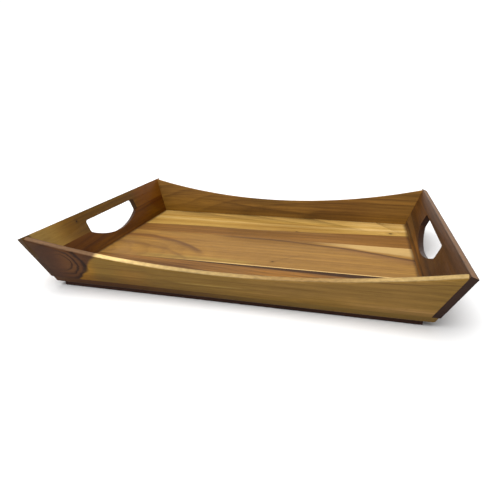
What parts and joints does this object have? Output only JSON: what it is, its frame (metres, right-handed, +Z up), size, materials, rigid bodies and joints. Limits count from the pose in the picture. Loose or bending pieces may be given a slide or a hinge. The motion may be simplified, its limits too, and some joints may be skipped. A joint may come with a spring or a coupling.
{
  "type": "serving tray",
  "caption": "Rectangular wooden serving tray with flared walls, long sides that dip in the middle, a hand hole through each end and runners underneath.",
  "frame": {"origin": "middle of the tray's plan, on the surface that its runners stand on", "axes": "+X along the tray towards its right end, +Y towards its back wall, +Z up"},
  "size_m": [0.5, 0.3622, 0.0691],
  "materials": {
    "golden_wood": "oiled satin",
    "brown_wood": "oiled satin",
    "dark_wood": "oiled satin",
    "dowel_wood": "raw",
    "screw_steel": "zinc plated"
  },
  "bodies": {
    "root": {"floor_front_stave": "dark_wood", "floor_mid_front_stave": "brown_wood", "floor_mid_back_stave": "brown_wood", "floor_back_stave": "golden_wood", "front_wall": "golden_wood", "back_wall": "golden_wood", "left_end_lower_stave": "dark_wood", "left_end_upper_stave": "brown_wood", "right_end_board": "brown_wood", "front_runner": "dark_wood", "back_runner": "dark_wood", "front_left_corner_dowels": "dowel_wood", "front_right_corner_dowels": "dowel_wood", "back_left_corner_dowels": "dowel_wood", "back_right_corner_dowels": "dowel_wood", "front_wall_dowels": "dowel_wood", "back_wall_dowels": "dowel_wood", "left_end_dowels": "dowel_wood", "right_end_dowels": "dowel_wood", "front_runner_screws": "screw_steel", "back_runner_screws": "screw_steel"}
  },
  "joints": []
}
